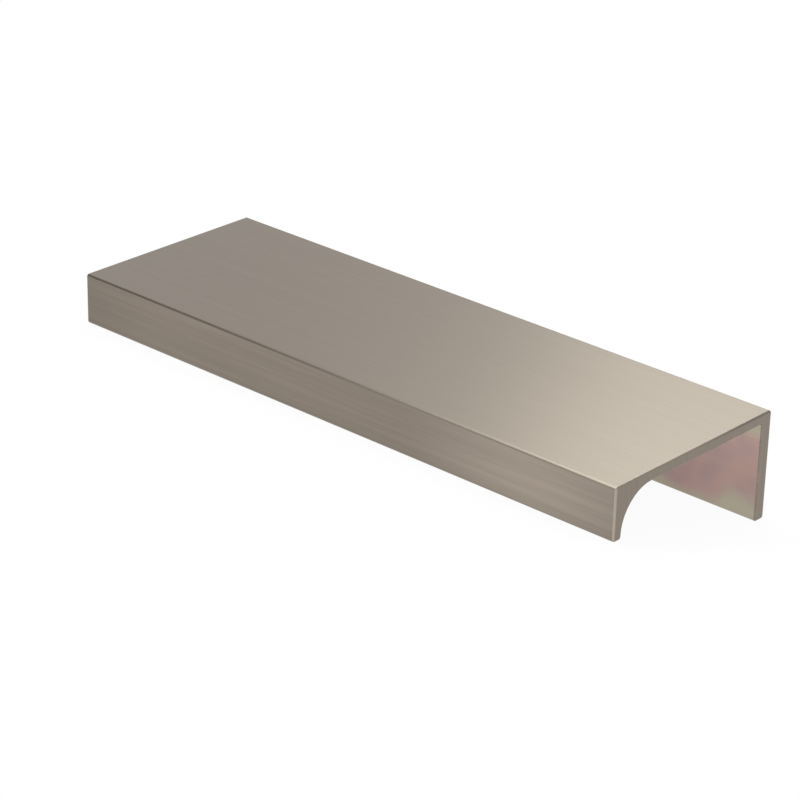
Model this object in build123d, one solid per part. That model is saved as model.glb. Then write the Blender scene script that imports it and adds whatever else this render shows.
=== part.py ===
"""Edge pull: a sawn length of extruded section that hooks over the edge of a door or drawer front.

The back flange screws to the back of the door, the top plate lies over the door's edge, and the front
lip stands clear of the door's face, with a hollow curve behind it for the fingertips.

The section is drawn upright: Y runs from the front of the lip (0) to the back of the flange, and Z is 0
at the top face. The lip is shorter than the flange, so the finished pull is then tipped forward onto
its two tips, as it lies on a level floor.
"""

import os
from math import atan2, degrees

from build123d import *

# Driving dimensions, in millimetres
LENGTH = 120.0  # along the edge of the door
DEPTH = 40.0  # front of the lip to back of the flange
TOP_THICKNESS = 1.8
LIP_THICKNESS = 1.9  # at its tip, below the finger curve
FINGER_RADIUS = 7.0  # hollow curve that joins the lip to the top plate
LIP_LAND = 0.1  # straight stretch between the finger curve and the rounded tip
FLANGE_HEIGHT = 19.5  # top face to flange tip
FLANGE_THICKNESS = 2.3

TOP_EDGE_RADIUS = 0.5  # the two long outer edges of the top face
SEAT_RADIUS = 0.5  # inside corner where the door's edge seats
TIP_RADIUS = 0.5  # both edges of the lip tip and of the flange tip
END_EDGE_RADIUS = 0.3  # all round both sawn ends

SCREW_SPACING = 64.0
SCREW_HOLE_DIAMETER = 4.0
SCREW_HEAD_DIAMETER = 7.0
SCREW_HEAD_ANGLE = 90.0

# Places that follow from the driving dimensions
UNDERSIDE = -TOP_THICKNESS
LIP_TIP = UNDERSIDE - FINGER_RADIUS - LIP_LAND - TIP_RADIUS
FLANGE_FRONT = DEPTH - FLANGE_THICKNESS
FLANGE_TIP = -FLANGE_HEIGHT
SCREW_ROW = (UNDERSIDE + FLANGE_TIP) / 2  # half way down the face that meets the door

# Both tips touch the floor on corners of the same radius, so the floor is parallel to the line
# between the sharp corners.
REST_TILT = degrees(atan2(LIP_TIP - FLANGE_TIP, FLANGE_FRONT))


def section():
    """The upright section: eight corners, each with its own radius, anticlockwise from the top front."""
    corners = [
        ((0, 0), TOP_EDGE_RADIUS),
        ((0, LIP_TIP), TIP_RADIUS),
        ((LIP_THICKNESS, LIP_TIP), TIP_RADIUS),
        ((LIP_THICKNESS, UNDERSIDE), FINGER_RADIUS),
        ((FLANGE_FRONT, UNDERSIDE), SEAT_RADIUS),
        ((FLANGE_FRONT, FLANGE_TIP), TIP_RADIUS),
        ((DEPTH, FLANGE_TIP), TIP_RADIUS),
        ((DEPTH, 0), TOP_EDGE_RADIUS),
    ]
    points = [point for point, _ in corners]
    radii = [radius for _, radius in corners]
    outline = FilletPolyline(*points, radius=radii, close=True)
    return make_face(Plane.YZ * outline)


def screw_holes():
    """Two countersunk holes through the flange, with the screw heads let into its back face."""
    hole = CounterSinkHole(
        radius=SCREW_HOLE_DIAMETER / 2,
        counter_sink_radius=SCREW_HEAD_DIAMETER / 2,
        depth=2 * FLANGE_THICKNESS,
        counter_sink_angle=SCREW_HEAD_ANGLE,
    )
    back_face = Plane(origin=(0, DEPTH, SCREW_ROW), x_dir=(1, 0, 0), z_dir=(0, 1, 0))
    return back_face * GridLocations(SCREW_SPACING, 0, 2, 1) * hole


def edge_pull():
    """The whole pull, upright: extruded, eased all round its sawn ends, then drilled."""
    bar = extrude(section(), amount=LENGTH / 2, both=True)
    end_edges = bar.faces().filter_by(Axis.X).edges()
    eased = fillet(end_edges, radius=END_EDGE_RADIUS)
    return eased - screw_holes()


def resting(upright):
    """Tipped onto its lip and flange tips, with the origin on the floor under the middle of its box."""
    tipped = Rot(X=REST_TILT) * upright
    box = tipped.bounding_box()
    return Pos(-box.center().X, -box.center().Y, -box.min.Z) * tipped


os.makedirs("parts", exist_ok=True)
export_step(resting(edge_pull()), "parts/edge_pull.step")
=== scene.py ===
# %% [markdown]
# # Edge pull in brushed nickel
# An edge pull is a sawn length of extruded section that hooks over the edge of a drawer or cupboard door.
# This lesson sweeps that section in Geometry Nodes, dresses it in four finishes and lights it on a pale
# floor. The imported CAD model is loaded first, because it fixes where everything is and how big it may be.

from math import atan2, cos, degrees, pi, radians, sin

import bmesh
import bpy
from mathutils import Matrix, Vector


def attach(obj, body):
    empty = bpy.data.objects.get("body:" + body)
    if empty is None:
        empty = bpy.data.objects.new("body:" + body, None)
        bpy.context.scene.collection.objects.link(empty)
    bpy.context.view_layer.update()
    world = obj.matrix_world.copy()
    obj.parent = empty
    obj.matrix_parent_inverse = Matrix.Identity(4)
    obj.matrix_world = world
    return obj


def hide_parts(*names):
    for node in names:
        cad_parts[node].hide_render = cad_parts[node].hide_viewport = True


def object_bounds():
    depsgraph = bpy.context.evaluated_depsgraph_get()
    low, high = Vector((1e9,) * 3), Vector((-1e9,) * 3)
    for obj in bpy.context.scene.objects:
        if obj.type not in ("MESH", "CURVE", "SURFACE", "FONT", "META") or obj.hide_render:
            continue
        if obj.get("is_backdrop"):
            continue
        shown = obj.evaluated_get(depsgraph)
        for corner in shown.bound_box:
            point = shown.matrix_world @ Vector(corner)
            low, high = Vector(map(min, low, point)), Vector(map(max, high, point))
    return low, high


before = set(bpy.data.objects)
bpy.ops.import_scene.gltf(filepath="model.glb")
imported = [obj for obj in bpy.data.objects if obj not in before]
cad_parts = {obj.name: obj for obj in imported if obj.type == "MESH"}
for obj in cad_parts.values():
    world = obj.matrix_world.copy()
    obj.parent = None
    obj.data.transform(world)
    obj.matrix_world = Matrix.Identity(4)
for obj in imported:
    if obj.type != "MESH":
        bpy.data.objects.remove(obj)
cad_low, cad_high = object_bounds()
print("CAD box, mm:", [round(1000 * extent, 2) for extent in cad_high - cad_low])

# %% [markdown]
# ## The sizes
# The section is drawn upright, as the pull hangs on a door: Y runs from the front of the lip to the back of
# the flange, and Z is 0 at the top face. All sizes are in metres, because the frame is. They are the CAD
# model's own sizes, so the two shapes agree without any fitting.

# %% Sizes of the pull
MM = 0.001
LENGTH = 120 * MM
DEPTH = 40 * MM
TOP_THICKNESS = 1.8 * MM
LIP_THICKNESS = 1.9 * MM
LIP_HEIGHT = 9.4 * MM
FINGER_RADIUS = 7.0 * MM
FLANGE_HEIGHT = 19.5 * MM
FLANGE_THICKNESS = 2.3 * MM
EDGE_RADIUS = 0.5 * MM
END_RADIUS = 0.3 * MM
SCREW_SPACING = 64 * MM
SCREW_HOLE_RADIUS = 2.0 * MM
SCREW_HEAD_RADIUS = 3.5 * MM
print("length and depth, mm:", round(LENGTH / MM, 1), round(DEPTH / MM, 1))

# %% [markdown]
# ## Lying on the floor
# Unheld, the pull tips forward until the tips of its lip and flange both touch the floor. Both tips have the
# same rounding, so the tilt follows from their two heights and the distance between them. The matrix below
# carries anything drawn upright, the camera too, to where the CAD model lies. Drawing upright first is easier
# than drawing a tilted section, because every face then runs along an axis.

# %% The turn from upright to resting
FLANGE_FRONT = DEPTH - FLANGE_THICKNESS
TILT = atan2(FLANGE_HEIGHT - LIP_HEIGHT, FLANGE_FRONT)


def tipped(y, z):
    """A point of the upright section after the tilt, before it is set down on the floor."""
    return Vector((0, y * cos(TILT) - z * sin(TILT), y * sin(TILT) + z * cos(TILT)))


lowest = tipped(EDGE_RADIUS, EDGE_RADIUS - LIP_HEIGHT).z - EDGE_RADIUS
frontmost = tipped(EDGE_RADIUS, -EDGE_RADIUS).y - EDGE_RADIUS
backmost = tipped(DEPTH - EDGE_RADIUS, EDGE_RADIUS - FLANGE_HEIGHT).y + EDGE_RADIUS
set_down = Matrix.Translation((0, -(frontmost + backmost) / 2, -lowest))
RESTING = set_down @ Matrix.Rotation(TILT, 4, "X")
print("tilt at rest, degrees:", round(degrees(TILT), 2))

# %% [markdown]
# ## Small helpers for node trees
# Geometry and shader trees are both built by adding nodes and linking sockets. `add` makes one node, sets its
# options and fills its inputs: a value is typed into the socket, and another node's socket is linked to it.
# The same few lines by hand for every node would hide what each tree does.

# %% Add a node
NODES_PER_ROW = 10
NODE_WIDTH, NODE_HEIGHT = 230, 330


def plug(tree, socket, value):
    if isinstance(value, bpy.types.NodeSocket):
        tree.links.new(value, socket)
    else:
        socket.default_value = value


def add(tree, kind, settings=None, **inputs):
    """A node with its settings and its inputs. An input's name has _ where Blender shows a space."""
    row, column = divmod(len(tree.nodes), NODES_PER_ROW)
    made = tree.nodes.new(kind)
    made.location = (NODE_WIDTH * column, -NODE_HEIGHT * row)
    for name, value in (settings or {}).items():
        setattr(made, name, value)
    for name, value in inputs.items():
        plug(tree, made.inputs[name.replace("_", " ")], value)
    return made


print("nodes are laid out in rows of", NODES_PER_ROW)

# %% [markdown]
# ## Sums in a node tree
# Each of these adds one arithmetic node and hands back its output, so that a sum in a tree reads almost like
# a sum in Python. The Math and Vector Math nodes are the same ones in geometry trees and in shader trees.

# %% Arithmetic helpers
def calc(tree, operation, *values):
    """A Math node's result."""
    made = add(tree, "ShaderNodeMath", {"operation": operation})
    for socket, value in zip(made.inputs, values):
        plug(tree, socket, value)
    return made.outputs[0]


def vector_calc(tree, operation, a, b=(0.0, 0.0, 0.0)):
    """A Vector Math node, whose Vector or Value output the caller picks."""
    made = add(tree, "ShaderNodeVectorMath", {"operation": operation})
    plug(tree, made.inputs[0], a)
    plug(tree, made.inputs[1], b)
    return made.outputs


def xyz(tree, x=0.0, y=0.0, z=0.0):
    return add(tree, "ShaderNodeCombineXYZ", X=x, Y=y, Z=z).outputs[0]


def parts(tree, vector):
    return add(tree, "ShaderNodeSeparateXYZ", Vector=vector).outputs


def scaled(tree, vector, factor):
    made = add(tree, "ShaderNodeVectorMath", {"operation": "SCALE"}, Vector=vector, Scale=factor)
    return made.outputs[0]


print("arithmetic helpers: calc, vector_calc, xyz, parts, scaled")

# %% [markdown]
# ## The sweep's inputs
# The body follows one rule: the same section all along, drawn in a little at both sawn ends where the edge is
# eased. A Geometry Nodes tree can state that rule, with the sizes as named inputs that a reader can change.
# A Bevel modifier on a plain extrusion would also do, but it would have to find the right edges first.

# %% The tree's sizes and finishes
SWEEP_SIZES = {
    "Length": LENGTH,
    "Depth": DEPTH,
    "Top thickness": TOP_THICKNESS,
    "Lip thickness": LIP_THICKNESS,
    "Lip height": LIP_HEIGHT,
    "Finger radius": FINGER_RADIUS,
    "Flange height": FLANGE_HEIGHT,
    "Flange thickness": FLANGE_THICKNESS,
    "Edge radius": EDGE_RADIUS,
    "End radius": END_RADIUS,
    "Screw spacing": SCREW_SPACING,
    "Screw hole radius": SCREW_HOLE_RADIUS,
    "Screw head radius": SCREW_HEAD_RADIUS,
}
FINISHES = {
    "Brushed faces": bpy.data.materials.new("nickel_brushed"),
    "Drawn inside": bpy.data.materials.new("nickel_drawn"),
    "Sawn ends": bpy.data.materials.new("nickel_sawn"),
    "Countersinks": bpy.data.materials.new("nickel_turned"),
}
print("sweep inputs:", len(SWEEP_SIZES), "sizes and", len(FINISHES), "finishes")

# %% The tree and its sockets
sweep = bpy.data.node_groups.new("edge_pull_sweep", "GeometryNodeTree")
for name in SWEEP_SIZES:
    sweep.interface.new_socket(name, in_out="INPUT", socket_type="NodeSocketFloat")
for name in FINISHES:
    sweep.interface.new_socket(name, in_out="INPUT", socket_type="NodeSocketMaterial")
sweep.interface.new_socket("Pull", in_out="OUTPUT", socket_type="NodeSocketGeometry")
given = add(sweep, "NodeGroupInput").outputs
print("sockets on the tree:", len(sweep.interface.items_tree))

# %% [markdown]
# ## The section
# Eight sharp corners make the outline, and Fillet Curve rounds each one with its own radius. The large radius
# is the hollow behind the lip, where the fingertips go. An Index Switch hands out the corners by number: X and
# Y of its vector are the corner's place, and Z carries the corner's radius. A curve drawn by hand would look
# the same, but its roundings couldn't follow the inputs.

# %% The eight corners
underside = calc(sweep, "MULTIPLY", given["Top thickness"], -1.0)
lip_tip = calc(sweep, "MULTIPLY", given["Lip height"], -1.0)
flange_tip = calc(sweep, "MULTIPLY", given["Flange height"], -1.0)
flange_front = calc(sweep, "SUBTRACT", given["Depth"], given["Flange thickness"])
lip_back, back = given["Lip thickness"], given["Depth"]
edge, finger = given["Edge radius"], given["Finger radius"]
CORNERS = [
    (0.0, 0.0, edge),
    (0.0, lip_tip, edge),
    (lip_back, lip_tip, edge),
    (lip_back, underside, finger),
    (flange_front, underside, edge),
    (flange_front, flange_tip, edge),
    (back, flange_tip, edge),
    (back, 0.0, edge),
]
print("section corners:", len(CORNERS))

# %% The corners joined and rounded
ARC_POINTS = 10
number = add(sweep, "GeometryNodeInputIndex").outputs[0]
corner = add(sweep, "GeometryNodeIndexSwitch", {"data_type": "VECTOR"}, Index=number)
while len(corner.index_switch_items) < len(CORNERS):
    corner.index_switch_items.new()
for place, (y, z, radius) in enumerate(CORNERS):
    plug(sweep, corner.inputs[str(place)], xyz(sweep, y, z, radius))
corner_y, corner_z, corner_radius = parts(sweep, corner.outputs[0])
ring = add(sweep, "GeometryNodeCurvePrimitiveCircle", Resolution=len(CORNERS))
at_corner = xyz(sweep, corner_y, corner_z)
sharp = add(sweep, "GeometryNodeSetPosition", Geometry=ring.outputs[0], Position=at_corner)
rounded = add(sweep, "GeometryNodeFilletCurve", {"mode": "POLY"}, Curve=sharp.outputs[0], Count=ARC_POINTS)
plug(sweep, rounded.inputs["Radius"], corner_radius)
print("points on each rounded corner:", ARC_POINTS)

# %% [markdown]
# ## What each point of the section remembers
# Capture Attribute stores a value on the outline's points, and the swept mesh inherits it. Three are kept:
# the point's place, the way out of the metal there, and the distance walked round the outline. The way out is
# the direction of travel turned a quarter to the right, because the outline runs anticlockwise.

# %% Captured on the outline
travel = parts(sweep, add(sweep, "GeometryNodeInputTangent").outputs[0])
outline = add(sweep, "GeometryNodeCaptureAttribute", Geometry=rounded.outputs[0])
for kind, name in (("VECTOR", "Place"), ("VECTOR", "Way out"), ("FLOAT", "Walked")):
    outline.capture_items.new(kind, name)
plug(sweep, outline.inputs["Place"], add(sweep, "GeometryNodeInputPosition").outputs[0])
turned_right = xyz(sweep, travel["Y"], calc(sweep, "MULTIPLY", travel["X"], -1.0))
plug(sweep, outline.inputs["Way out"], turned_right)
plug(sweep, outline.inputs["Walked"], add(sweep, "GeometryNodeSplineParameter").outputs["Length"])
print("captured on the outline:", [item.name for item in outline.capture_items])

# %% [markdown]
# ## The rail and its eased ends
# The rail is a line of points along the length, bunched at the two ends. Each end goes through a quarter turn:
# at angle a the section stands r sin a further out and is drawn in by r (1 - cos a), which rounds the sawn
# edge. Points are counted from the middle outwards on both sides, so one formula serves both ends.

# %% Points along the rail
END_STEPS = 5
RAIL_POINTS = 2 * END_STEPS + 2
rail_line = add(sweep, "GeometryNodeCurvePrimitiveLine", End=(1.0, 0.0, 0.0))
rail_points = add(sweep, "GeometryNodeResampleCurve", {"mode": "COUNT"}, Curve=rail_line.outputs[0])
plug(sweep, rail_points.inputs["Count"], RAIL_POINTS)
rail_number = add(sweep, "GeometryNodeInputIndex").outputs[0]
from_left = calc(sweep, "SUBTRACT", END_STEPS, rail_number)
from_right = calc(sweep, "SUBTRACT", rail_number, END_STEPS + 1)
steps_out = calc(sweep, "MAXIMUM", from_left, from_right)
end_angle = calc(sweep, "MULTIPLY", steps_out, pi / 2 / END_STEPS)
side = calc(sweep, "SIGN", calc(sweep, "SUBTRACT", rail_number, END_STEPS + 0.5))
print("rail points:", RAIL_POINTS)

# %% How far out and how far in each rail point is
end_radius = given["End radius"]
straight_half = calc(sweep, "MULTIPLY_ADD", given["Length"], 0.5, calc(sweep, "MULTIPLY", end_radius, -1.0))
reach = calc(sweep, "MULTIPLY_ADD", end_radius, calc(sweep, "SINE", end_angle), straight_half)
shrink = calc(sweep, "SUBTRACT", 1.0, calc(sweep, "COSINE", end_angle))
rail = add(sweep, "GeometryNodeCaptureAttribute", Geometry=rail_points.outputs[0])
for name in ("Along", "Draw in"):
    rail.capture_items.new("FLOAT", name)
plug(sweep, rail.inputs["Along"], calc(sweep, "MULTIPLY", side, reach))
plug(sweep, rail.inputs["Draw in"], calc(sweep, "MULTIPLY", end_radius, shrink))
print("captured on the rail:", [item.name for item in rail.capture_items])

# %% [markdown]
# ## The sweep
# Curve to Mesh joins outline and rail into a closed skin with a cap at each end. Set Position then puts every
# point exactly where the captured values say, so it doesn't matter how the sweep turned the section.

# %% Sweep the section along the rail
skin = add(sweep, "GeometryNodeCurveToMesh", Curve=rail.outputs["Geometry"], Fill_Caps=True)
plug(sweep, skin.inputs["Profile Curve"], outline.outputs["Geometry"])
drawn_in = scaled(sweep, outline.outputs["Way out"], rail.outputs["Draw in"])
in_section = parts(sweep, vector_calc(sweep, "SUBTRACT", outline.outputs["Place"], drawn_in)["Vector"])
exact_place = xyz(sweep, rail.outputs["Along"], in_section["X"], in_section["Y"])
body = add(sweep, "GeometryNodeSetPosition", Geometry=skin.outputs[0], Position=exact_place)
print("sweep nodes so far:", len(sweep.nodes))

# %% [markdown]
# ## Telling the faces apart
# The finishes need to know which faces are the sawn ends and which are the eased edges. A face's normal says
# it: an end looks straight along X, a flat face along one axis, and an eased edge along none. The values are
# taken once for each face, because a value taken at the corners would smear over the border.

# %% Rules for ends and edges
FACING = 0.99
normal = add(sweep, "GeometryNodeInputNormal").outputs["Normal"]
position = add(sweep, "GeometryNodeInputPosition").outputs[0]
place = parts(sweep, position)
along_x, along_y, along_z = (calc(sweep, "ABSOLUTE", part) for part in parts(sweep, normal))


def on_face(socket):
    """A value worked out once for each face."""
    return add(sweep, "GeometryNodeFieldOnDomain", {"domain": "FACE"}, Value=socket).outputs[0]


def more_than(a, b):
    return calc(sweep, "GREATER_THAN", a, b)


is_end = on_face(more_than(along_x, FACING))
straightest = calc(sweep, "MAXIMUM", along_x, calc(sweep, "MAXIMUM", along_y, along_z))
is_eased = on_face(calc(sweep, "LESS_THAN", straightest, FACING))
end_edge = calc(sweep, "MULTIPLY", is_eased, on_face(more_than(along_x, 1 - FACING)))
long_edge = calc(sweep, "SUBTRACT", is_eased, end_edge)
print("rules so far: sawn end, end edge, long edge")

# %% [markdown]
# ## A map that follows the grain
# Brushed metal shines differently along and across its grain, so the shader has to know which way the grain
# runs. A UV map tells it: U goes round the section, across the grain, and V goes along the pull. The sawn ends
# get a flat map instead, because they have no grain. The two kinds of eased edge are stored as masks beside it.

# %% Store the grain map and the edge masks
GRAIN_MAP, LONG_EDGES, END_EDGES = "grain_map", "long_edges", "end_edges"


def either(rule, no, yes):
    made = add(sweep, "GeometryNodeSwitch", {"input_type": "FLOAT"}, Switch=rule)
    plug(sweep, made.inputs["False"], no)
    plug(sweep, made.inputs["True"], yes)
    return made.outputs[0]


def store(geometry, name, kind, domain, value):
    options = {"data_type": kind, "domain": domain}
    made = add(sweep, "GeometryNodeStoreNamedAttribute", options, Geometry=geometry, Name=name, Value=value)
    return made.outputs[0]


across = either(is_end, outline.outputs["Walked"], place["Y"])
lengthways = either(is_end, rail.outputs["Along"], place["Z"])
mapped = store(body.outputs[0], GRAIN_MAP, "FLOAT2", "CORNER", xyz(sweep, across, lengthways))
long_masked = store(mapped, LONG_EDGES, "FLOAT", "FACE", long_edge)
masked = store(long_masked, END_EDGES, "FLOAT", "FACE", end_edge)
print("stored:", GRAIN_MAP, LONG_EDGES, END_EDGES)

# %% [markdown]
# ## Screw holes
# Two countersunk holes go through the flange, with the screw heads let into its back. On a real pull they are
# drilled after sawing, so here too they are cut last: a drill and a cone stand on a two-point line, and a
# boolean takes them away. The cone widens by as much as it rises, which is a 90 degree countersink.

# %% Where the screws go
screw_row = calc(sweep, "MULTIPLY", calc(sweep, "ADD", underside, flange_tip), 0.5)
half_spacing = calc(sweep, "MULTIPLY", given["Screw spacing"], 0.5)
first_hole = xyz(sweep, calc(sweep, "MULTIPLY", half_spacing, -1.0), back, screw_row)
hole_line = add(sweep, "GeometryNodeMeshLine", Count=2, Start_Location=first_hole)
plug(sweep, hole_line.inputs["Offset"], xyz(sweep, given["Screw spacing"]))
print("screw row below the top, mm:", round((TOP_THICKNESS + FLANGE_HEIGHT) / 2 / MM, 2))

# %% The drill and the countersink
HOLE_SIDES = 64
CUT_PAST = 0.5 * MM
DRILL_DEPTH = 4.0  # in thicknesses of the flange
drill = add(sweep, "GeometryNodeMeshCylinder", Vertices=HOLE_SIDES, Radius=given["Screw hole radius"])
plug(sweep, drill.inputs["Depth"], calc(sweep, "MULTIPLY", given["Flange thickness"], DRILL_DEPTH))
wide = calc(sweep, "ADD", given["Screw head radius"], CUT_PAST)
narrow = calc(sweep, "MULTIPLY", given["Screw hole radius"], 0.5)
cone_length = calc(sweep, "SUBTRACT", wide, narrow)
cone = add(sweep, "GeometryNodeMeshCone", Vertices=HOLE_SIDES, Radius_Top=wide, Radius_Bottom=narrow)
plug(sweep, cone.inputs["Depth"], cone_length)
sink_start = xyz(sweep, 0.0, 0.0, calc(sweep, "SUBTRACT", CUT_PAST, cone_length))
countersink = add(sweep, "GeometryNodeTransform", Geometry=cone.outputs[0], Translation=sink_start)
print("sides on each cutter:", HOLE_SIDES)

# %% Cut the holes
bored = masked
for cutter in (drill.outputs[0], countersink.outputs[0]):
    facing_back = add(sweep, "GeometryNodeTransform", Geometry=cutter, Rotation=(radians(-90), 0.0, 0.0))
    holes = add(sweep, "GeometryNodeInstanceOnPoints", Points=hole_line.outputs[0])
    plug(sweep, holes.inputs["Instance"], facing_back.outputs[0])
    both = add(sweep, "GeometryNodeRealizeInstances", Geometry=holes.outputs[0])
    cut = add(sweep, "GeometryNodeMeshBoolean", {"operation": "DIFFERENCE", "solver": "EXACT"}, Mesh_1=bored)
    plug(sweep, cut.inputs["Mesh 2"], both.outputs[0])
    bored = cut.outputs["Mesh"]
print("sweep nodes so far:", len(sweep.nodes))

# %% [markdown]
# ## Which face gets which finish
# Three short rules sort the faces. A face that looks along the length is a sawn end. A face that looks towards
# a line in the middle of the hollow, level with the lip, is the drawn inside. A face inside a screw head's
# circle that doesn't lie flat on the flange was cut by the drill. Everything else was brushed.

# %% The faces that look into the hollow
LEVEL_WITH_LIP = 0.96
hollow_y = calc(sweep, "MULTIPLY", given["Depth"], 0.5)
hollow_z = calc(sweep, "MULTIPLY", lip_tip, LEVEL_WITH_LIP)
to_hollow = vector_calc(sweep, "SUBTRACT", xyz(sweep, place["X"], hollow_y, hollow_z), position)["Vector"]
looks_in = on_face(more_than(vector_calc(sweep, "DOT_PRODUCT", normal, to_hollow)["Value"], 0.0))
print("the hollow's line is", round(LEVEL_WITH_LIP * LIP_HEIGHT / MM, 2), "mm below the top")

# %% The faces that the drill cut
BACK_PART = 0.9  # share of the depth, a little in front of the flange
from_screw = calc(sweep, "SUBTRACT", calc(sweep, "ABSOLUTE", place["X"]), half_spacing)
from_row = calc(sweep, "SUBTRACT", place["Z"], screw_row)
off_axis = vector_calc(sweep, "LENGTH", xyz(sweep, from_screw, from_row))["Value"]
near_screw = calc(sweep, "LESS_THAN", off_axis, given["Screw head radius"])
at_back = more_than(place["Y"], calc(sweep, "MULTIPLY", given["Depth"], BACK_PART))
not_flat = calc(sweep, "LESS_THAN", along_y, FACING)
is_drilled = on_face(calc(sweep, "MULTIPLY", calc(sweep, "MULTIPLY", near_screw, at_back), not_flat))
print("a drilled face is within", round(SCREW_HEAD_RADIUS / MM, 2), "mm of a screw's axis")

# %% Shade smooth, but keep real folds sharp
SMOOTH_BELOW = radians(30)
smooth = add(sweep, "GeometryNodeSetShadeSmooth", Geometry=bored, Shade_Smooth=True)
fold = add(sweep, "GeometryNodeInputMeshEdgeAngle").outputs["Unsigned Angle"]
creased = add(sweep, "GeometryNodeSetShadeSmooth", {"domain": "EDGE"}, Geometry=smooth.outputs[0])
plug(sweep, creased.inputs["Selection"], more_than(fold, SMOOTH_BELOW))
plug(sweep, creased.inputs["Shade Smooth"], False)
print("folds of more than", round(degrees(SMOOTH_BELOW)), "degrees stay sharp")

# %% Set the four materials
finished = add(sweep, "GeometryNodeRealizeInstances", Geometry=creased.outputs[0]).outputs[0]
RULES = {"Brushed faces": True, "Drawn inside": looks_in, "Sawn ends": is_end, "Countersinks": is_drilled}
for name, rule in RULES.items():
    coated = add(sweep, "GeometryNodeSetMaterial", Geometry=finished, Selection=rule, Material=given[name])
    finished = coated.outputs[0]
add(sweep, "NodeGroupOutput", Pull=finished)
print("sweep nodes:", len(sweep.nodes))

# %% [markdown]
# ## From the tree to a plain mesh
# The modifier's inputs are filled in by socket identifier. A Weighted Normal modifier follows, so that the
# large flat faces shade dead flat and only the rounded edges bend the light. The result is then copied out as
# an ordinary mesh and laid down on the floor, where it stands in for the CAD solid.

# %% Run the sweep
pull = bpy.data.objects.new("edge_pull_brushed", bpy.data.meshes.new("edge_pull_start"))
bpy.context.scene.collection.objects.link(pull)
sweep_step = pull.modifiers.new("sweep", "NODES")
sweep_step.node_group = sweep
for item in sweep.interface.items_tree:
    if item.in_out == "INPUT":
        sweep_step[item.identifier] = {**SWEEP_SIZES, **FINISHES}[item.name]
flat_shading = pull.modifiers.new("flat_faces", "WEIGHTED_NORMAL")
flat_shading.weight = 100
flat_shading.keep_sharp = True
evaluated = pull.evaluated_get(bpy.context.evaluated_depsgraph_get())
pull_mesh = bpy.data.meshes.new_from_object(evaluated)
print("swept points:", len(pull_mesh.vertices))

# %% Keep the result as a plain mesh
pull.modifiers.clear()
pull.data = pull_mesh
pull_mesh.name = "edge_pull_brushed"
pull_mesh.transform(RESTING)
while None in pull_mesh.materials[:]:
    pull_mesh.materials.pop(index=pull_mesh.materials[:].index(None))
print("finishes on the mesh:", [material.name for material in pull_mesh.materials])

# %% Measure the mesh
solid = bmesh.new()
solid.from_mesh(pull_mesh)
volume = solid.calc_volume(signed=True)
open_edges = sum(not edge_found.is_manifold for edge_found in solid.edges)
print("faces:", len(solid.faces), "open edges:", open_edges, "normals out:", volume > 0)
print("volume, mm3:", round(volume / MM**3, 1))
solid.free()
for slot, material in enumerate(pull_mesh.materials):
    print(material.name, "faces:", sum(face.material_index == slot for face in pull_mesh.polygons))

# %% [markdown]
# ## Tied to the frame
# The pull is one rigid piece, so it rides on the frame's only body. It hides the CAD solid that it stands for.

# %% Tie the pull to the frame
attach(pull, "root")
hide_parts("edge_pull")
new_low, new_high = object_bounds()
print("pull box, mm:", [round(extent / MM, 2) for extent in new_high - new_low])

# %% [markdown]
# ## Upright coordinates for the finishes
# The pull lies tilted, but its finishes follow its own faces. A Mapping node turns Object coordinates back
# upright, so that X is along the grain, Y is the depth and Z is 0 at the top face. Generated coordinates
# would stretch with the pull's box, and marks would then change size with it.

# %% Turn Object coordinates upright
STAND_UP = RESTING.inverted()


def upright_coordinates(tree):
    made = add(tree, "ShaderNodeMapping", {"vector_type": "POINT"})
    plug(tree, made.inputs["Vector"], add(tree, "ShaderNodeTexCoord").outputs["Object"])
    made.inputs["Location"].default_value = STAND_UP.translation
    made.inputs["Rotation"].default_value = STAND_UP.to_euler()
    return made.outputs[0]


print("coordinates turn by", round(degrees(STAND_UP.to_euler().x), 2), "degrees")

# %% [markdown]
# ## Lines along the metal
# Brushing, drawing, sawing and turning all leave lines. They come from noise that is stretched far along X and
# squeezed across it, in two sizes: fine strokes, and broad bands where the strokes lie closer together. All
# four finishes use this, so it is a shader group that is built once and gets its own sizes in each material.

# %% An empty shader group
def shader_group(name, inputs, outputs):
    """A shader group with its sockets, and its input and output nodes."""
    group = bpy.data.node_groups.new(name, "ShaderNodeTree")
    for label, kind in inputs.items():
        group.interface.new_socket(label, in_out="INPUT", socket_type=kind)
    for label, kind in outputs.items():
        group.interface.new_socket(label, in_out="OUTPUT", socket_type=kind)
    return group, add(group, "NodeGroupInput").outputs, add(group, "NodeGroupOutput").inputs


NUMBER, DIRECTION = "NodeSocketFloat", "NodeSocketVector"
LINES_IN = {"Place": DIRECTION, "Stroke length": NUMBER, "Line width": NUMBER, "Fine share": NUMBER}
long_lines, lines_in, lines_out = shader_group("long_lines", LINES_IN, {"Lines": NUMBER})
print("long_lines takes:", list(LINES_IN))

# %% The lines inside the group
LINE_RAGGEDNESS = 0.6
line_place = parts(long_lines, lines_in["Place"])


def line_noise(longer, wider, detail):
    """Noise in strokes, so much longer and wider than the group's two sizes."""
    stroke = calc(long_lines, "MULTIPLY", lines_in["Stroke length"], longer)
    width = calc(long_lines, "MULTIPLY", lines_in["Line width"], wider)
    x = calc(long_lines, "DIVIDE", line_place["X"], stroke)
    y = calc(long_lines, "DIVIDE", line_place["Y"], width)
    z = calc(long_lines, "DIVIDE", line_place["Z"], width)
    made = add(long_lines, "ShaderNodeTexNoise", Vector=xyz(long_lines, x, y, z), Scale=1.0, Detail=detail)
    made.inputs["Roughness"].default_value = LINE_RAGGEDNESS
    return made.outputs["Fac"]


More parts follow.
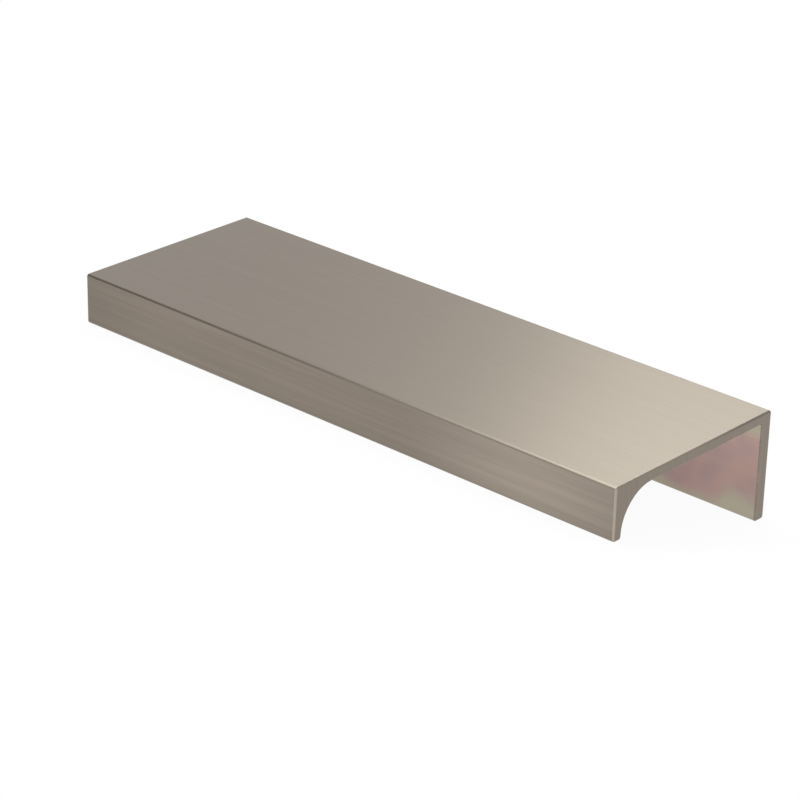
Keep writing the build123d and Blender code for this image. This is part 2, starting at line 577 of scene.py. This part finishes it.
broad = line_noise(longer=4.0, wider=6.0, detail=2.0)
fine = line_noise(longer=1.0, wider=1.0, detail=3.0)
mixed = add(long_lines, "ShaderNodeMix", {"data_type": "FLOAT"}, A=broad, B=fine)
plug(long_lines, mixed.inputs["Factor"], lines_in["Fine share"])
plug(long_lines, lines_out["Lines"], mixed.outputs[0])
print("long_lines nodes:", len(long_lines.nodes))

# %% [markdown]
# ## What the finishes share
# All four finishes are the same plated metal, so they start from the same shader and differ only in their
# marks. Plated nickel is a warm grey, and being a metal it has no colour but that of its reflections. Each
# finish says how its lines run, and the lines then set its colour, its roughness and a shallow bump.

# %% Start a finish
NICKEL = (0.271, 0.230, 0.191, 1.0)


def start_finish(name, anisotropy=0.0):
    """An empty metal finish: its tree, its shader's inputs and the upright place."""
    material = FINISHES[name]
    material.use_nodes = True
    tree = material.node_tree
    tree.nodes.clear()
    metal = add(tree, "ShaderNodeBsdfPrincipled", Base_Color=NICKEL, Metallic=1.0, Anisotropic=anisotropy)
    add(tree, "ShaderNodeOutputMaterial", Surface=metal.outputs[0])
    return tree, metal.inputs, upright_coordinates(tree)


def follow_grain(tree, shader_in):
    made = add(tree, "ShaderNodeTangent", {"direction_type": "UV_MAP", "uv_map": GRAIN_MAP})
    plug(tree, shader_in["Tangent"], made.outputs[0])


print("nickel:", NICKEL[:3])

# %% [markdown]
# ## Values and colours over the surface
# Map Range stretches a value to the range that is wanted and holds it there, which makes masks with a soft
# border and turns noise into roughness. Mix blends two colours by such a mask. Smooth borders use Map Range's
# smoothstep, because a straight ramp shows a crease where it starts and ends.

# %% Ranges and blends
def span(tree, value, low, high, to_low=0.0, to_high=1.0, shape="LINEAR"):
    """A value that runs from low to high, made to run from to_low to to_high and held there."""
    made = add(tree, "ShaderNodeMapRange", {"interpolation_type": shape}, Value=value)
    for limit, at in (("From Min", low), ("From Max", high), ("To Min", to_low), ("To Max", to_high)):
        made.inputs[limit].default_value = at
    return made.outputs[0]


def blend(tree, factor, a, b):
    """Two colours mixed by a factor."""
    made = add(tree, "ShaderNodeMix", {"data_type": "RGBA"})
    first, second = (socket for socket in made.inputs if socket.type == "RGBA")
    plug(tree, made.inputs[0], factor)
    plug(tree, first, a)
    plug(tree, second, b)
    return next(socket for socket in made.outputs if socket.type == "RGBA")


def toned(colour, factor):
    return tuple(factor * channel for channel in colour[:3]) + (1.0,)


print("a tone of 1.5 makes nickel", [round(channel, 3) for channel in toned(NICKEL, 1.5)[:3]])

# %% [markdown]
# ## From lines to colour and relief
# A scratch that faces the light looks brighter than its neighbour, so the lines shift the colour a little each
# way, and the roughness with it. They also raise a bump of a few hundredths of a millimetre, which is as deep
# as such marks are.

# %% Lines, their colour and their relief
LINE_LOW, LINE_HIGH = 0.3, 0.7
LINE_CONTRAST = 0.16


def marks(tree, place, stroke, width, fine_share):
    """Lines from the shared group, stretched to use the whole range from 0 to 1."""
    made = add(tree, "ShaderNodeGroup", {"node_tree": long_lines}, Place=place, Stroke_length=stroke)
    made.inputs["Line width"].default_value = width
    made.inputs["Fine share"].default_value = fine_share
    return span(tree, made.outputs["Lines"], LINE_LOW, LINE_HIGH)


def mark_colour(tree, lines, colour, strength=1.0):
    """A colour that the lines make a little duller or brighter."""
    shift = strength * LINE_CONTRAST
    return blend(tree, lines, toned(colour, 1 - shift), toned(colour, 1 + shift))


def set_roughness(tree, shader_in, lines, dull, bright):
    """Roughness that runs from dull to bright as the lines do."""
    plug(tree, shader_in["Roughness"], span(tree, lines, 0.0, 1.0, dull, bright))


def raise_lines(tree, shader_in, height, depth, strength):
    made = add(tree, "ShaderNodeBump", Height=height, Distance=depth, Strength=strength)
    plug(tree, shader_in["Normal"], made.outputs[0])


print("lines shift the colour by", LINE_CONTRAST, "each way")

# %% [markdown]
# ## Brushed nickel
# The show faces were brushed along their length and plated. The lip is small and was brushed with a coarser
# belt than the top, so its strokes show more. Anisotropy spreads the shine across the grain, which is what
# makes brushed metal look silky. A picture of brushed metal would do the same from one distance only.

# %% Strokes on the brushed faces
STROKE_LENGTH, STROKE_WIDTH = 20 * MM, 0.16 * MM
LIP_COARSENESS, TOP_COARSENESS = 0.8, 0.3
tree, nickel, upright = start_finish("Brushed faces", anisotropy=0.85)
follow_grain(tree, nickel)
brushed_place = parts(tree, upright)
strokes = marks(tree, upright, stroke=STROKE_LENGTH, width=STROKE_WIDTH, fine_share=0.55)
coarseness = span(tree, brushed_place["Y"], EDGE_RADIUS, LIP_THICKNESS, LIP_COARSENESS, TOP_COARSENESS)
lines = calc(tree, "MULTIPLY_ADD", calc(tree, "SUBTRACT", strokes, 0.5), coarseness, 0.5)
stroked = mark_colour(tree, lines, NICKEL)
set_roughness(tree, nickel, lines, dull=0.33, bright=0.27)
print("strokes, mm:", round(STROKE_LENGTH / MM), "by", round(STROKE_WIDTH / MM, 2))

# %% [markdown]
# ## A painted highlight and painted shade on the lip
# A painted highlight lies on the front of the lip, paler than the rest of it.
# A soft mask along X does it, held to the front of the lip by a second mask along Y. Towards the lip's tip
# painted shade darkens it, standing in for the floor's shadow that the lip mirrors there, and the lip is also a
# little darker towards its left end.

# %% The painted highlight and the painted shade at the tip of the lip
# A painted highlight on the front of the lip, paler than nickel.
HIGHLIGHT_MIDDLE, HIGHLIGHT_REACH, HIGHLIGHT_TONE = 43 * MM, 30 * MM, 1.37
LIP_TONE, TIP_SHADE_TONE, TIP_FROM = 0.97, 0.88, 0.75
LEFT_TONE, LEFT_REACH = 0.87, 16 * MM
from_highlight = calc(tree, "ABSOLUTE", calc(tree, "SUBTRACT", brushed_place["X"], HIGHLIGHT_MIDDLE))
in_painted_highlight = span(tree, from_highlight, 0.0, HIGHLIGHT_REACH, 1.0, 0.0, shape="SMOOTHSTEP")
on_lip = span(tree, brushed_place["Y"], 0.0, EDGE_RADIUS, 1.0, 0.0)
painted_highlight = mark_colour(tree, lines, toned(NICKEL, HIGHLIGHT_TONE))
highlighted = blend(tree, calc(tree, "MULTIPLY", in_painted_highlight, on_lip), stroked, painted_highlight)
# Painted shade towards the lip's tip, where it mirrors the floor's shadow; the lip is also darker towards its
# left end.
painted_tip_shade = span(tree, brushed_place["Z"], -LIP_HEIGHT, -TIP_FROM * LIP_HEIGHT, TIP_SHADE_TONE, 1.0)
at_left = span(tree, brushed_place["X"], -LENGTH / 2, LEFT_REACH - LENGTH / 2, LEFT_TONE, 1.0)
lip_darkening = calc(tree, "MULTIPLY", calc(tree, "MULTIPLY", painted_tip_shade, at_left), LIP_TONE)
lip_tone = calc(tree, "MULTIPLY_ADD", on_lip, calc(tree, "SUBTRACT", lip_darkening, 1.0), 1.0)
lip_shaded = scaled(tree, highlighted, lip_tone)
print("the patch reaches", round(HIGHLIGHT_REACH / MM), "mm each way from X =", round(HIGHLIGHT_MIDDLE / MM), "mm")

# %% [markdown]
# ## Eased edges
# Edges lose their brush marks first, because everything that passes rubs on them. The masks stored with the
# mesh find them: the long edges lose their strokes, and the two short edges at the lip's ends get a painted
# highlight. Towards the back the end edges get painted shade, a thin darker line. The bump is kept off both
# kinds.

# %% Wear, a painted highlight and painted shade on the edges
# A painted highlight on the lip's end edges, and painted shade on the end edges towards the back.
EDGE_HIGHLIGHT_TONE, RIM_SHADE_TONE = 1.72, 0.78
RIM_FROM, RIM_TO = 0.5 * DEPTH, 0.8 * DEPTH
long_edges = add(tree, "ShaderNodeAttribute", {"attribute_name": LONG_EDGES}).outputs["Fac"]
end_edges = add(tree, "ShaderNodeAttribute", {"attribute_name": END_EDGES}).outputs["Fac"]
smoothed = blend(tree, long_edges, lip_shaded, NICKEL)
painted_edge_highlight = calc(tree, "MULTIPLY", end_edges, on_lip)
painted_rim_shade = calc(tree, "MULTIPLY", end_edges, span(tree, brushed_place["Y"], RIM_FROM, RIM_TO))
with_rim_shade = blend(tree, painted_rim_shade, smoothed, toned(NICKEL, RIM_SHADE_TONE))
plug(tree, nickel["Base Color"], blend(tree, painted_edge_highlight, with_rim_shade, toned(NICKEL, EDGE_HIGHLIGHT_TONE)))
flat_faces = calc(tree, "SUBTRACT", 1.0, calc(tree, "ADD", long_edges, end_edges))
raise_lines(tree, nickel, calc(tree, "MULTIPLY", lines, flat_faces), depth=0.02 * MM, strength=0.15)
print("brushed finish nodes:", len(tree.nodes))

# %% [markdown]
# ## The drawn inside
# Nothing brushes the inside of the channel, so it keeps the long die lines of the extrusion. They come from the
# same group with far longer and wider strokes, and a rougher shine.

# %% Die lines on the inside
DIE_LENGTH, DIE_WIDTH = 400 * MM, 0.4 * MM
tree, inside, upright = start_finish("Drawn inside", anisotropy=0.6)
follow_grain(tree, inside)
inside_place = parts(tree, upright)
lines = marks(tree, upright, stroke=DIE_LENGTH, width=DIE_WIDTH, fine_share=0.4)
drawn = mark_colour(tree, lines, NICKEL)
set_roughness(tree, inside, lines, dull=0.42, bright=0.34)
raise_lines(tree, inside, lines, depth=0.03 * MM, strength=0.2)
print("die lines, mm:", round(DIE_LENGTH / MM), "by", round(DIE_WIDTH / MM, 2))

# %% [markdown]
# ## The cast of thin plating
# Plating is thin and uneven inside the channel. On the flange it has a rosy cast in the middle, which turns to
# grey-green towards the top and the tip. A height mask sets the border between the two colours, and noise makes
# it wander, because a straight border would look painted. Painted light makes the cast paler near the top
# plate, painted shade makes it darker deeper in the channel, away from the end, and the eased edges at the ends
# are left without it.

# %% Where the cast changes
CLOUDS_PER_METRE, BLOTCHES_PER_METRE = 90.0, 260.0
CLOUD_SHIFT, CLOUD_REACH = 51 * MM, 1.4
FLANGE_MIDDLE = (TOP_THICKNESS + FLANGE_HEIGHT) / 2
FLANGE_HALF = (FLANGE_HEIGHT - TOP_THICKNESS) / 2


def clouds(tree, place, per_metre, detail):
    made = add(tree, "ShaderNodeTexNoise", Vector=place, Scale=per_metre, Detail=detail, Roughness=0.5)
    return made.outputs["Fac"]


from_middle = calc(tree, "ABSOLUTE", calc(tree, "ADD", inside_place["Z"], FLANGE_MIDDLE))
outward = calc(tree, "DIVIDE", from_middle, FLANGE_HALF)
cloud_place = vector_calc(tree, "ADD", upright, (CLOUD_SHIFT, 0.0, 0.0))["Vector"]
cloud = clouds(tree, cloud_place, CLOUDS_PER_METRE, detail=2.0)
blotch = clouds(tree, upright, BLOTCHES_PER_METRE, detail=1.0)
wandering = calc(tree, "MULTIPLY_ADD", calc(tree, "SUBTRACT", cloud, 0.5), CLOUD_REACH, outward)
print("the cast is centred", round(FLANGE_MIDDLE / MM, 2), "mm below the top")

# %% The flange's colours
# The cast's hue is the plating's own colour; its paleness over nickel is partly a painted reflection of the
# pale floor.
ROSY, MAUVE = (0.441, 0.299, 0.267, 1.0), (0.403, 0.282, 0.267, 1.0)
GREY_GREEN = (0.420, 0.380, 0.295, 1.0)
# Painted light near the top plate, and painted shade deeper in the channel, away from the end.
LIT_FROM, LIT_TO, LIT_TONE = -12 * MM, -5 * MM, 1.25
DEEP_FROM, DEEP_TO, DEEP_SHADE_TONE = 54 * MM, 44 * MM, 0.86
rosy = blend(tree, span(tree, blotch, 0.4, 0.65), ROSY, MAUVE)
cast = blend(tree, span(tree, wandering, 0.5, 0.85), rosy, GREY_GREEN)
painted_light_near_top = span(tree, inside_place["Z"], LIT_FROM, LIT_TO, 1.0, LIT_TONE)
painted_shade_deep_in = span(tree, inside_place["X"], DEEP_TO, DEEP_FROM, DEEP_SHADE_TONE, 1.0)
lit_cast = scaled(tree, cast, calc(tree, "MULTIPLY", painted_light_near_top, painted_shade_deep_in))
on_flange = span(tree, inside_place["Y"], FLANGE_FRONT - EDGE_RADIUS, FLANGE_FRONT)
inside_edges = add(tree, "ShaderNodeAttribute", {"attribute_name": END_EDGES}).outputs["Fac"]
has_cast = calc(tree, "SUBTRACT", on_flange, inside_edges)
plug(tree, inside["Base Color"], blend(tree, has_cast, drawn, lit_cast))
print("drawn finish nodes:", len(tree.nodes))

# %% [markdown]
# ## Sawn ends
# A fine saw leaves straight marks down the cut. The lines group always draws its long way along X, so it is
# handed the end's height as X and its depth as Y. The cut is a little darker than the brushed faces.

# %% The sawn finish
SAWN_TONE = 0.94
SAW_MARK, SAW_WIDTH = 10 * MM, 0.15 * MM
tree, sawn, upright = start_finish("Sawn ends")
end_place = parts(tree, upright)
down_the_cut = xyz(tree, end_place["Z"], end_place["Y"])
lines = marks(tree, down_the_cut, stroke=SAW_MARK, width=SAW_WIDTH, fine_share=0.6)
plug(tree, sawn["Base Color"], mark_colour(tree, lines, toned(NICKEL, SAWN_TONE), strength=0.5))
set_roughness(tree, sawn, lines, dull=0.42, bright=0.34)
raise_lines(tree, sawn, lines, depth=0.02 * MM, strength=0.15)
print("sawn finish nodes:", len(tree.nodes))

# %% [markdown]
# ## Countersinks
# A countersink is turned, so its marks are rings. The group only gets the distance from the screw's axis, which
# makes its lines run round. Both holes share one sum, because the distance is taken from either side of X = 0.

# %% The turned finish
TURNED_TONE = 1.2
RING_WIDTH = 0.12 * MM
tree, turned, upright = start_finish("Countersinks")
hole_place = parts(tree, upright)
sideways = calc(tree, "SUBTRACT", calc(tree, "ABSOLUTE", hole_place["X"]), SCREW_SPACING / 2)
upwards = calc(tree, "ADD", hole_place["Z"], FLANGE_MIDDLE)
ring_radius = vector_calc(tree, "LENGTH", xyz(tree, sideways, upwards))["Value"]
lines = marks(tree, xyz(tree, 0.0, ring_radius), stroke=SCREW_HEAD_RADIUS, width=RING_WIDTH, fine_share=0.5)
plug(tree, turned["Base Color"], mark_colour(tree, lines, toned(NICKEL, TURNED_TONE), strength=0.6))
set_roughness(tree, turned, lines, dull=0.34, bright=0.24)
raise_lines(tree, turned, lines, depth=0.03 * MM, strength=0.3)
print("finishes:", [material.name for material in FINISHES.values()])

# %% [markdown]
# ## Camera
# The camera stands where the photograph was taken from: to the right, in front and above, with a long lens.
# Its place and its axes were measured against the straight edges of the pull, in the upright frame, so the
# resting matrix carries them along. Three axes are safer than three angles, which depend on their order.

# %% The camera
IMAGE_SIDE = 800
FOCAL_PIXELS = 2899.7
EYE = Vector((0.299076, -0.315182, 0.196259))
RIGHT = Vector((0.736476, 0.676131, 0.021232))
UP = Vector((-0.298106, 0.296218, 0.907407))
BACKWARDS = RIGHT.cross(UP)
lens = bpy.data.cameras.new("camera")
lens.sensor_width = 36.0
lens.lens = FOCAL_PIXELS / IMAGE_SIDE * lens.sensor_width
lens.clip_start = 10 * MM
camera = bpy.data.objects.new("camera", lens)
bpy.context.scene.collection.objects.link(camera)
camera_axes = Matrix((RIGHT, UP, BACKWARDS)).transposed().to_4x4()
camera.matrix_world = RESTING @ Matrix.Translation(EYE) @ camera_axes
bpy.context.scene.camera = camera
print("lens, mm:", round(lens.lens, 1), "camera height, mm:", round(camera.matrix_world.translation.z / MM))

# %% [markdown]
# ## Floor
# A wide pale floor carries the pull and takes its shadow. To be white in the picture without more light on the
# metal, it glows a little for rays from the camera and for reflected rays, and is plain paint for all others.
# The share of paint that is left is what shows the shadow.

# %% The floor
FLOOR_SIDE = 30.0
floor_mesh = bpy.data.meshes.new("floor")
flat = bmesh.new()
bmesh.ops.create_grid(flat, x_segments=1, y_segments=1, size=FLOOR_SIDE / 2)
flat.to_mesh(floor_mesh)
flat.free()
floor = bpy.data.objects.new("floor", floor_mesh)
bpy.context.scene.collection.objects.link(floor)
floor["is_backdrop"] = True
print("floor side, m:", FLOOR_SIDE)

# %% The floor's paint and glow
GLOW_SHARE = 0.95
PAINT, WHITE = (0.95, 0.95, 0.95, 1.0), (1.0, 1.0, 1.0, 1.0)
pale = bpy.data.materials.new("pale_floor")
pale.use_nodes = True
tree = pale.node_tree
tree.nodes.clear()
paint = add(tree, "ShaderNodeBsdfDiffuse", Color=PAINT)
glow = add(tree, "ShaderNodeEmission", Color=WHITE, Strength=1.0)
ray = add(tree, "ShaderNodeLightPath").outputs
mirrored = calc(tree, "MAXIMUM", ray["Is Glossy Ray"], ray["Is Transmission Ray"])
seen = calc(tree, "MAXIMUM", ray["Is Camera Ray"], mirrored)
surface = add(tree, "ShaderNodeMixShader", Fac=calc(tree, "MULTIPLY", seen, GLOW_SHARE))
plug(tree, surface.inputs[1], paint.outputs[0])
plug(tree, surface.inputs[2], glow.outputs[0])
add(tree, "ShaderNodeOutputMaterial", Surface=surface.outputs[0])
floor_mesh.materials.append(pale)
print("glow for rays from the camera:", GLOW_SHARE)

# %% [markdown]
# ## The room
# Metal shows what surrounds it, so the world is a pale room with one dark corner: in front, above and to the
# left. The pull's front edge is rounded and mirrors that corner, which draws the thin dark line between the top
# and the lip. From the right end the edge mirrors less of the left, so the line fades out there. A plain white
# room would make the two faces run into each other.

# %% The pale room and its dark corner
WALLS, DARK_CORNER = 0.915, 0.2
DARKEST_WAY = Vector((-0.61, -0.63, 0.48))
DARK_FROM, DARK_TO = 0.73, 0.94
FADE_FROM, FADE_TO = -0.52, -0.68
world = bpy.data.worlds.new("studio")
world.use_nodes = True
bpy.context.scene.world = world
tree = world.node_tree
tree.nodes.clear()
direction = add(tree, "ShaderNodeTexCoord").outputs["Generated"]
towards_dark = vector_calc(tree, "DOT_PRODUCT", direction, DARKEST_WAY)["Value"]
in_dark = span(tree, towards_dark, DARK_FROM, DARK_TO)
to_left = span(tree, parts(tree, direction)["X"], FADE_FROM, FADE_TO)
room_light = span(tree, calc(tree, "MULTIPLY", in_dark, to_left), 0.0, 1.0, WALLS, DARK_CORNER)
room = add(tree, "ShaderNodeBackground", Color=WHITE, Strength=room_light)
add(tree, "ShaderNodeOutputWorld", Surface=room.outputs[0])
print("room from", DARK_CORNER, "to", WALLS)

# %% [markdown]
# ## Soft boxes
# Three soft boxes stand side by side in an arch over the left of the pull: behind it, overhead and in front.
# The top mirrors the left border of the one behind, which is the slow change from grey to pale along the top.
# The other two go on in line with it, and put the pale line on the front edge. A single lamp would leave that
# edge dull. Brightness is given as that of a white card, which is easier to choose than watts.

# %% The soft boxes
ARCH_RADIUS = 1.0
BOX_LEFT, BOX_RIGHT = -0.67, -0.33
SOFT_BRIGHTNESS = 2.74
SOFT_LIGHT = (0.94, 1.0, 0.965)


def softbox(name, angle, height):
    """An area lamp in the arch, at an angle that counts up from level behind the pull."""
    lamp = bpy.data.lights.new(name, "AREA")
    lamp.shape = "RECTANGLE"
    lamp.size, lamp.size_y = BOX_RIGHT - BOX_LEFT, height
    lamp.energy = SOFT_BRIGHTNESS * pi * lamp.size * lamp.size_y
    lamp.color = SOFT_LIGHT
    made = bpy.data.objects.new(name, lamp)
    made.location = ((BOX_LEFT + BOX_RIGHT) / 2, ARCH_RADIUS * cos(angle), ARCH_RADIUS * sin(angle))
    made.rotation_euler = (angle - pi / 2, 0.0, 0.0)
    made.visible_camera = False
    bpy.context.scene.collection.objects.link(made)
    print(name, "watts:", round(lamp.energy, 2))


softbox("back_softbox", radians(71), height=0.8)
softbox("overhead_softbox", radians(111), height=0.6)
softbox("front_softbox", radians(137), height=0.33)

# %% [markdown]
# ## Plain colours
# Blender's usual view softens bright colours as film does. A library part is easier to compare in plain
# colours, so the Standard view is used, which shows a colour as it was written.

# %% The plain view
bpy.context.scene.view_settings.view_transform = "Standard"
print("view:", bpy.context.scene.view_settings.view_transform)

# %% [markdown]
# The dressed pull's box is set against the CAD model's box, and the largest difference between them is printed.
# The dressed pull may not outgrow the CAD model.

# %% Keep the two boxes, then finish
box_low, box_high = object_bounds()
differences = [*(box_low - cad_low), *(box_high - cad_high)]
print("largest difference, mm:", round(max(abs(part) for part in differences) / MM, 4))
